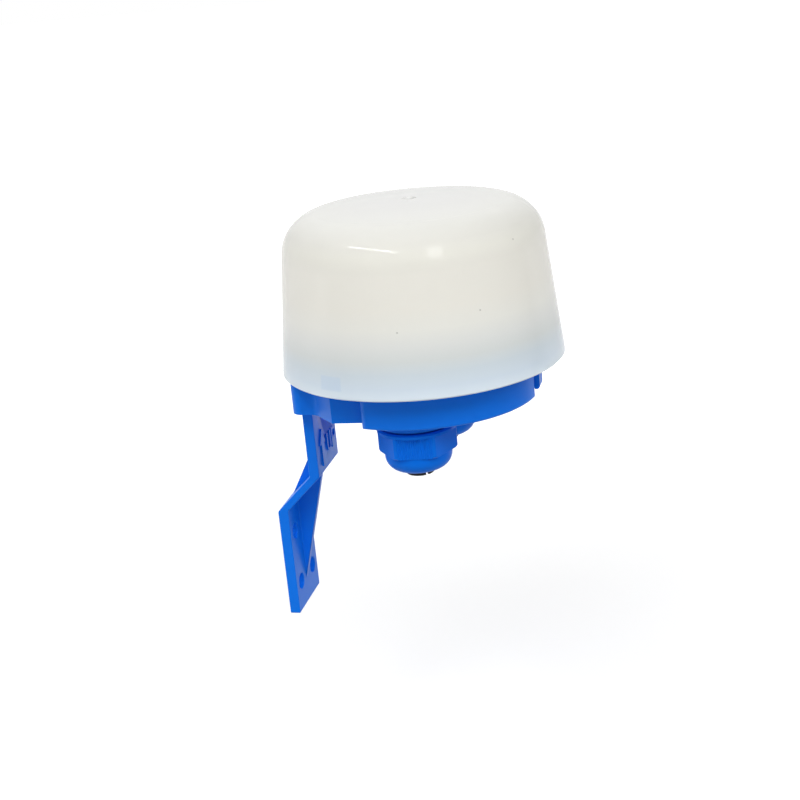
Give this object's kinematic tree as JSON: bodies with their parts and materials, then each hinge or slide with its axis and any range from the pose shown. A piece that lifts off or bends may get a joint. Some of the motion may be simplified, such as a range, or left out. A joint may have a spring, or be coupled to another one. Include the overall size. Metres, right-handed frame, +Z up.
{
  "type": "photocell switch",
  "caption": "Outdoor dusk-to-dawn photocell switch: a milky dome over a blue moulded base with cable glands, on a stepped wall bracket.",
  "frame": {"origin": "centre of the four wall screw holes, on the wall face of the bracket", "axes": "+X leaves the wall, +Z up, +Y completes the right-handed set"},
  "size_m": [0.0896, 0.084, 0.1271],
  "materials": {
    "milky_dome": "translucent milky polycarbonate",
    "silicone": "soft moulded ring",
    "blue_moulding": "moulded, satin",
    "black_rubber": "matt",
    "board": "paper laminate",
    "screws": "zinc plated",
    "terminal_body": "moulded",
    "cages": "nickel-flashed brass",
    "relay_case": "sealed case",
    "film_case": "potted box",
    "can_sleeve": "shrink sleeve",
    "chip_case": "epoxy",
    "varistor_coat": "dipped epoxy",
    "diode_glass": "glass bead",
    "resistor_coat": "lacquered",
    "cell_face": "coated ceramic disc"
  },
  "bodies": {
    "base_body": {"dome_gasket": "silicone", "base": "blue_moulding", "bracket": "blue_moulding", "gland_seal_front": "black_rubber", "gland_seal_rear": "black_rubber", "circuit_board": "board", "board_screws": "screws", "terminal_block": "terminal_body", "terminal_cages": "cages", "terminal_screws": "screws", "relay": "relay_case", "film_capacitor": "film_case", "electrolytic_capacitor": "can_sleeve", "bridge_rectifier": "chip_case", "varistor": "varistor_coat", "transistor": "chip_case", "zener_diode": "diode_glass", "resistors": "resistor_coat", "light_cell": "cell_face"},
    "dome": {"dome_cover": "milky_dome"},
    "front_nut": {"gland_nut_front": "blue_moulding"},
    "rear_nut": {"gland_nut_rear": "blue_moulding"}
  },
  "joints": [
    {"name": "dome_twist", "type": "hinge", "parent": "base_body", "child": "dome", "pos_m": [0.0476, 0, 0.0614], "axis": [0, 0, 1], "range_deg": [0, 30]},
    {"name": "front_nut_turn", "type": "hinge", "parent": "base_body", "child": "front_nut", "pos_m": [0.04795, -0.0185, 0.0414], "axis": [0, 0, 1], "range_deg": [-1770, 30]},
    {"name": "rear_nut_turn", "type": "hinge", "parent": "base_body", "child": "rear_nut", "pos_m": [0.04795, 0.0185, 0.0414], "axis": [0, 0, 1], "range_deg": [-1230, 525]}
  ]
}
